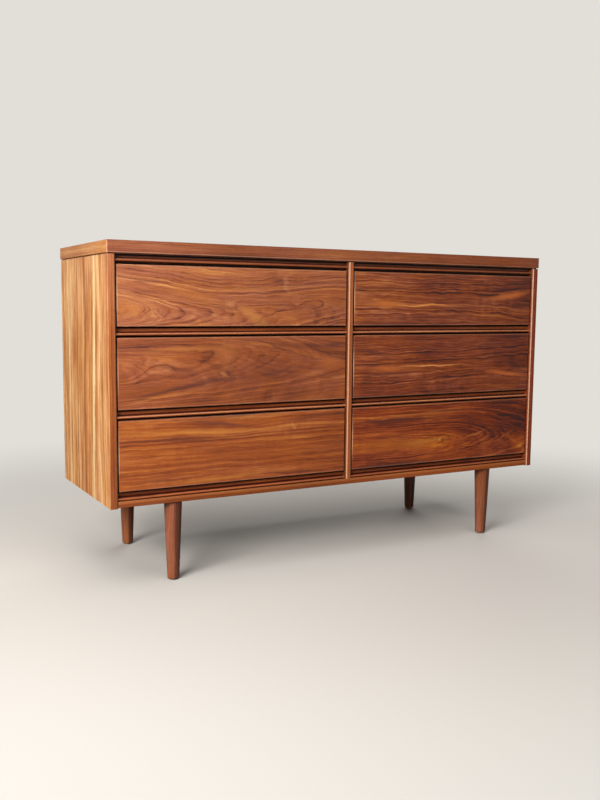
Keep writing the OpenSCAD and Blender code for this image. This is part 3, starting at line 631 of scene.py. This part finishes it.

# solid walnut, moulded: a round-nosed lip with a painted highlight, a groove over it with painted shade, and
# the wall of the finger pull with painted shade
# how strongly the painted shade darkens the wall and the lip is coloured (a painted highlight, on the top
# rail painted shade);
# in mm, half the painted shadow under the lip, half the one in the gap over the wall, and how far up all the
# marks are moved
railLooks = {
    "bottom_rails": {"wall": 0.1, "lip": 0.14, "lipColour": "#e2aa82", "under": 4.4, "gap": 3.6, "lift": 0},
    "lower_rails": {"wall": 0.25, "lip": 0.45, "lipColour": "#e2aa82", "under": 4.4, "gap": 3.6, "lift": 0},
    "upper_rails": {"wall": 0.35, "lip": 0.32, "lipColour": "#e2aa82", "under": 5.4, "gap": 3.6, "lift": 0},
    "top_rails": {"wall": 0.8, "lip": 0.8, "lipColour": "#80503a", "under": 4.4, "gap": 9, "lift": 2},
}
railLines = []
for name, look in railLooks.items():
    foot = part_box(name)[0].z * 1000 + look["lift"]
    for rise, half, strength, colour in (       # mm up the rail, and half the height
            (15, 7.5, look["wall"], "#4a2013"),             # painted shade on the wall of the finger pull
            (5.5, 2.5, look["lip"], look["lipColour"]),     # painted highlight on the crown of the lip; on the top rail, painted shade there instead
            (8.9, 3.7, 0.95, "#4c0f02"),                    # painted shade in the groove over the lip
            # painted shadow under the lip, and painted shadow in the gap over the wall
            (0.3, look["under"], 0.95, deepShade),
            (19, look["gap"], 0.95, deepShade)):
        railLines.append(edgeLine((0, foot + rise), (endless, half), strength, colour))
    if name == "upper_rails":       # its lip's painted highlight is stronger on the right
        railLines.append(edgeLine((250, foot + 5.5), (330, 3.4), 0.25, "#eab484"))
railWood = {
    **walnut, "seed": 45, "pith": (0, 180), "sway": 8, "dive": 10, "ringWidth": 6, "kink": 0, "figure": 0.08,
    "rings": 0.35, "streaks": 0.35, "lateDark": 0.18, "rough": (0.23, 0.18), "face": (0, -1, 0), "rim": 0.2,
    "tones": shadedEdgeTones, "patches": railLines,
    "faceTones": [(0.08, "#54200d"), (0.30, "#883e1b"), (0.50, "#a04f25"), (0.70, "#b3612f"),
                  (0.95, "#ca7f46")]}
rail = makeWood("walnutVarnishedRail", railWood)
for name in railLooks:
    paint(name, rail)
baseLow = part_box("base_board")[0].z * 1000
baseWood = {
    **railWood, "seed": 47, "wave": 2, "rim": 0.1,
    "faceTones": [(0.08, "#54260f"), (0.30, "#7b3e1c"), (0.50, "#8a4622"), (0.70, "#9a542a"),
                  (0.95, "#b47040")],
    "patches": [        # redder towards the right, and a painted highlight along the top of the edge
        {"at": (420, baseLow + 7), "half": (620, 900), "strength": 0.4, "colour": "#b65a26"},
        edgeLine((0, baseLow + 12), (endless, 5.5), 0.42, "#bd7644")]}
paint("base_board", makeWood("walnutVarnishedBase", baseWood))

# solid walnut, turned: straight upright grain, with painted light: paler on the side that faces the window at
# the front left
legWood = {
    **walnut, "grain": "z on side", "seed": 51, "pith": (0, 90), "sway": 8, "dive": 8, "ringWidth": 7,
    "kink": 0, "figure": 0.0, "rings": 0.4, "bands": 0.2, "streaks": 0.5, "sweeps": 0.4, "clouds": 0.3,
    "wave": 2, "lateDark": 0.2, "rough": (0.24, 0.19), "face": (-0.85, -0.53, 0), "rim": 0.5, "specular": 0.7,
    "tones": [(0.08, "#3a1a10"), (0.30, "#5c2e1e"), (0.50, "#673725"), (0.70, "#74432f"), (0.95, "#8a5840")],
    "faceTones": [(0.08, "#522418"), (0.30, "#7b412b"), (0.50, "#8b4e35"), (0.70, "#9b5e43"),
                  (0.95, "#b2785a")],
    "shades": [{"at": (0, 0), "half": (190, endless, endless), "push": 0.14}]}       # paler at the foot
leg = makeWood("walnutTurnedVarnished", legWood)
for name in ("leg_front_left", "leg_front_right", "leg_back_left", "leg_back_right"):
    paint(name, leg)

# poplar, planed and left bare: pale, even, dry surface
poplar = {
    **walnut, "seed": 61, "pith": (20, 200), "rings": 0.5, "bands": 0.3, "streaks": 0.35, "figure": 0.0,
    "lateDark": 0.10, "sweeps": 0.3, "casts": ("#bcbbb6", "#bebca6"), "pores": 0.12, "poreColour": "#8a6a45",
    "rough": (0.62, 0.55), "specular": 0.35,
    "tones": [(0.12, "#a88358"), (0.36, "#c6a377"), (0.56, "#d6b88d"), (0.85, "#e6d0ab")],
}
sideWood = makeWood("poplarPlanedSides", {**poplar, "grain": "y on side"})
backWood = makeWood("poplarPlanedBacks", {**poplar, "seed": 66})
runnerWood = makeWood("poplarPlanedRunners", {**poplar, "grain": "y on top", "seed": 68})
# birch plywood, sanded: rotary-cut veneer, so the rings spread into wide soft waves
plywood = makeWood("birchPlywoodSanded", {
    **poplar, "grain": "x on top", "seed": 71, "ringWidth": 16, "sway": 90, "dive": 60, "clouds": 0.5})
# walnut plywood for the back: the same waves, dull and brown
backPlywood = makeWood("walnutPlywoodBack", {
    **poplar, "grain": "x on front", "seed": 75, "ringWidth": 18, "sway": 90, "dive": 70,
    "casts": walnut["casts"],
    "tones": [(0.12, "#6b4630"), (0.36, "#8c6042"), (0.56, "#9f704e"), (0.85, "#b88a64")]})
for row in drawerRows:
    for side in drawerSides:
        drawer = f"{row}_{side}_drawer_"
        paint(drawer + "left_side", sideWood)
        paint(drawer + "right_side", sideWood)
        paint(drawer + "back", backWood)
        paint(drawer + "bottom", plywood)
        paint(drawer + "guide", runnerWood)
for name in ("drawer_runners", "center_tracks", "stop_blocks"):
    paint(name, runnerWood)
paint("rear_rails", backWood)
paint("back_panel", backPlywood)
print("wood painted")


def makeMetal(name, metal):
    # plated or turned metal: fine mottling in colour and roughness
    material = newMaterial(name)
    tree = material.node_tree
    spot = addNode(tree, "TexCoord").outputs["Object"]
    mottle = addNode(tree, "TexNoise", {}, {"Vector": spot, "Scale": metal["grains"], "Detail": 3.0})
    ramp = addNode(tree, "ValToRGB", {}, {0: mottle})
    setRamp(ramp, [(0.3, metal["dark"]), (0.7, metal["light"])])
    rough = addNode(tree, "MapRange", {},
                    {0: mottle, 1: 0.3, 2: 0.7, 3: metal["rough"][0], 4: metal["rough"][1]})
    bump = addNode(tree, "Bump", {}, {"Height": mottle, "Strength": 0.2, "Distance": 0.0001})
    surface = addNode(tree, "BsdfPrincipled", {}, {
        "Base Color": ramp, "Metallic": 1.0, "Roughness": rough, "Normal": bump})
    addNode(tree, "OutputMaterial", {}, {0: surface})
    return material


# zinc-plated steel: cool grey, slightly cloudy
zinc = makeMetal("steelZincPlated", {       # grains per metre, so each is about 1 mm
    "grains": 900, "dark": "#8f9296", "light": "#b9bcc0", "rough": (0.45, 0.3)})
# turned brass, dulled: yellow with a brown cast
brass = makeMetal("brassTurned", {
    "grains": 700, "dark": "#8f7436", "light": "#b5964e", "rough": (0.4, 0.28)})
for name in ("leg_bolts", "foot_glides", "top_screws", "back_screws"):
    paint(name, zinc)
paint("leg_inserts", brass)
print("metal painted")
